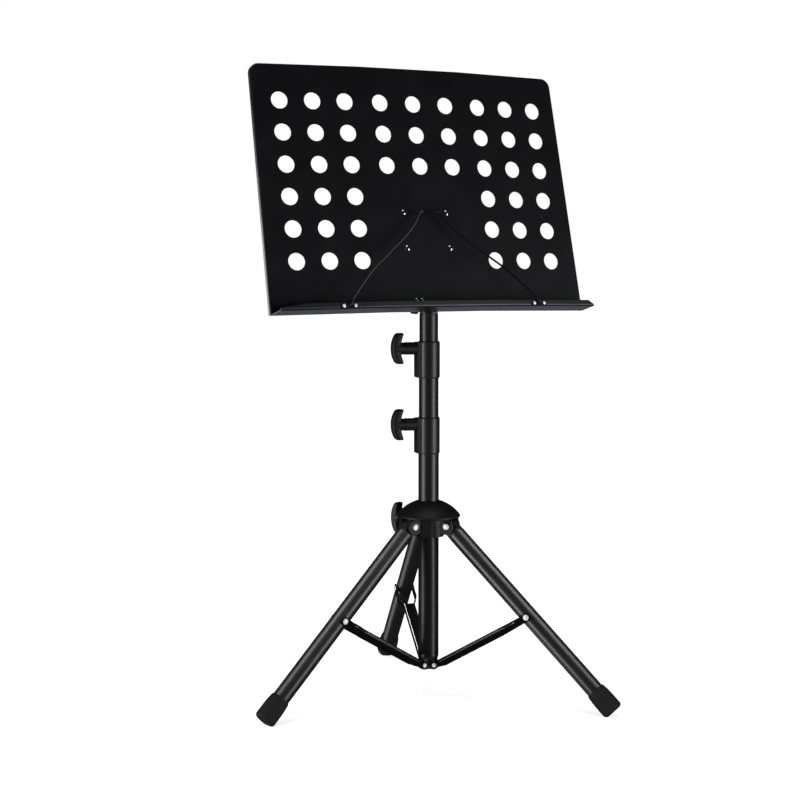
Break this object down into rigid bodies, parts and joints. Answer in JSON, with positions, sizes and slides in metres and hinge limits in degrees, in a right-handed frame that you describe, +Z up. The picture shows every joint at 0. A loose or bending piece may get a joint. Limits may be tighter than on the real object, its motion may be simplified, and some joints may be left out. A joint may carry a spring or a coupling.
{
  "type": "music stand",
  "caption": "Black folding music stand: perforated metal desk with a ledge and page holders on a telescopic post and a tripod.",
  "frame": {"origin": "post axis at floor level", "axes": "+Z up along the post, the desk faces -Y, +X to the right of someone looking along +Y at the desk's front"},
  "size_m": [0.5675, 0.538, 0.9535],
  "materials": {
    "tube_black": "satin black powder coat",
    "desk_black": "satin black powder coat, faint blue-grey tone",
    "bracket_black": "semi-matt black paint",
    "moulded_black": "fine-textured moulded black plastic",
    "nylon_black": "smooth black nylon",
    "rubber_black": "matt black rubber",
    "wire_black": "glossy black coated spring wire",
    "rivet_steel": "bright nickel plated",
    "zinc_steel": "zinc plated",
    "insert_brass": "machined brass"
  },
  "bodies": {
    "base": {"lower_tube": "tube_black", "stay_bracket": "moulded_black", "stay_bracket_rivets": "rivet_steel", "lower_collar": "moulded_black", "lower_collar_insert": "insert_brass", "lower_clamp_pad": "nylon_black"},
    "lower_knob": {"lower_knob": "moulded_black", "lower_clamp_bolt": "zinc_steel"},
    "mid_tube": {"mid_tube": "tube_black", "mid_tube_glide": "nylon_black", "upper_collar": "moulded_black", "upper_collar_insert": "insert_brass", "upper_clamp_pad": "nylon_black"},
    "upper_knob": {"upper_knob": "moulded_black", "upper_clamp_bolt": "zinc_steel"},
    "upper_tube": {"upper_tube": "tube_black", "upper_tube_glide": "nylon_black", "head_bush": "nylon_black"},
    "head": {"tilt_head": "bracket_black", "head_retaining_ring": "zinc_steel"},
    "tilt_knob": {"tilt_knob": "moulded_black", "tilt_bolt": "zinc_steel"},
    "desk": {"desk_plate": "desk_black", "desk_bracket": "bracket_black", "desk_rivets": "rivet_steel", "ledge": "desk_black", "ledge_rivets": "rivet_steel", "tilt_nut": "zinc_steel", "tilt_washers": "zinc_steel", "holder_saddles": "bracket_black", "saddle_rivets": "rivet_steel"},
    "left_page_holder": {"left_page_holder": "wire_black"},
    "right_page_holder": {"right_page_holder": "wire_black"},
    "hub": {"hub": "moulded_black", "hub_cover": "moulded_black", "leg_pivot_rivets": "rivet_steel", "hub_insert": "insert_brass", "hub_clamp_pad": "nylon_black"},
    "hub_knob": {"hub_knob": "moulded_black", "hub_clamp_bolt": "zinc_steel"},
    "rear_leg": {"rear_leg_head": "moulded_black", "rear_leg_tube": "tube_black", "rear_foot": "rubber_black"},
    "rear_stay": {"rear_stay": "bracket_black", "rear_stay_rivet": "rivet_steel"},
    "left_leg": {"left_leg_head": "moulded_black", "left_leg_tube": "tube_black", "left_foot": "rubber_black"},
    "left_stay": {"left_stay": "bracket_black", "left_stay_rivet": "rivet_steel"},
    "front_leg": {"front_leg_head": "moulded_black", "front_leg_tube": "tube_black", "front_foot": "rubber_black"},
    "front_stay": {"front_stay": "bracket_black", "front_stay_rivet": "rivet_steel"}
  },
  "joints": [
    {"name": "hub_slide", "type": "slide", "parent": "base", "child": "hub", "axis": [0, 0, 1], "range_m": [0, 0.066]},
    {"name": "hub_knob_turn", "type": "hinge", "parent": "hub", "child": "hub_knob", "pos_m": [-0.02019, 0.03797, 0.2715], "axis": [-0.4695, 0.8829, 0], "range_deg": [-90, 360]},
    {"name": "lower_knob_turn", "type": "hinge", "parent": "base", "child": "lower_knob", "pos_m": [-0.03697, 0.00786, 0.4179], "axis": [-0.9781, 0.2079, 0], "range_deg": [-90, 360]},
    {"name": "mid_tube_slide", "type": "slide", "parent": "base", "child": "mid_tube", "axis": [0, 0, 1], "range_m": [-0.055, 0.25]},
    {"name": "upper_knob_turn", "type": "hinge", "parent": "mid_tube", "child": "upper_knob", "pos_m": [-0.03697, 0.00786, 0.5324], "axis": [-0.9781, 0.2079, 0], "range_deg": [-90, 360]},
    {"name": "upper_tube_slide", "type": "slide", "parent": "mid_tube", "child": "upper_tube", "axis": [0, 0, 1], "range_m": [-0.02, 0.28]},
    {"name": "desk_swivel", "type": "hinge", "parent": "upper_tube", "child": "head", "pos_m": [0, 0, 0.582], "axis": [0, 0, 1], "continuous": true},
    {"name": "desk_tilt", "type": "hinge", "parent": "head", "child": "desk", "pos_m": [0, 0.007, 0.607], "axis": [-1, 0, 0], "range_deg": [-12, 70]},
    {"name": "tilt_knob_turn", "type": "hinge", "parent": "desk", "child": "tilt_knob", "pos_m": [-0.011, 0.007, 0.607], "axis": [-1, 0, 0], "range_deg": [-90, 360]},
    {"name": "left_page_holder_swing", "type": "hinge", "parent": "desk", "child": "left_page_holder", "pos_m": [-0.16, -0.05586, 0.59937], "axis": [-0.0558, -0.9692, 0.2399], "range_deg": [0, 90]},
    {"name": "right_page_holder_swing", "type": "hinge", "parent": "desk", "child": "right_page_holder", "pos_m": [0.16, -0.05586, 0.59937], "axis": [-0.0558, 0.9692, -0.2399], "range_deg": [0, 90]},
    {"name": "rear_leg_fold", "type": "hinge", "parent": "hub", "child": "rear_leg", "pos_m": [0.0088, 0.03284, 0.265], "axis": [-0.9659, 0.2588, 0], "range_deg": [0, 12.79]},
    {"name": "rear_stay_fold", "type": "hinge", "parent": "base", "child": "rear_stay", "pos_m": [0.00331, 0.01236, 0.0507], "axis": [0.9659, -0.2588, 0], "range_deg": [0, 16.86]},
    {"name": "left_leg_fold", "type": "hinge", "parent": "hub", "child": "left_leg", "pos_m": [-0.03367, -0.00473, 0.265], "axis": [0.1392, -0.9903, 0], "range_deg": [0, 12.79]},
    {"name": "left_stay_fold", "type": "hinge", "parent": "base", "child": "left_stay", "pos_m": [-0.01268, -0.00178, 0.0507], "axis": [-0.1392, 0.9903, 0], "range_deg": [0, 16.86]},
    {"name": "front_leg_fold", "type": "hinge", "parent": "hub", "child": "front_leg", "pos_m": [0.02093, -0.02679, 0.265], "axis": [0.788, 0.6157, 0], "range_deg": [0, 12.79]},
    {"name": "front_stay_fold", "type": "hinge", "parent": "base", "child": "front_stay", "pos_m": [0.00788, -0.01009, 0.0507], "axis": [-0.788, -0.6157, 0], "range_deg": [0, 16.86]}
  ],
  "couplings": [
    {"joint": "rear_leg_fold", "follows": "hub_slide", "rad_per_m": 3.3545},
    {"joint": "rear_stay_fold", "follows": "hub_slide", "rad_per_m": 4.4334},
    {"joint": "left_leg_fold", "follows": "hub_slide", "rad_per_m": 3.3545},
    {"joint": "left_stay_fold", "follows": "hub_slide", "rad_per_m": 4.4334},
    {"joint": "front_leg_fold", "follows": "hub_slide", "rad_per_m": 3.3545},
    {"joint": "front_stay_fold", "follows": "hub_slide", "rad_per_m": 4.4334}
  ]
}
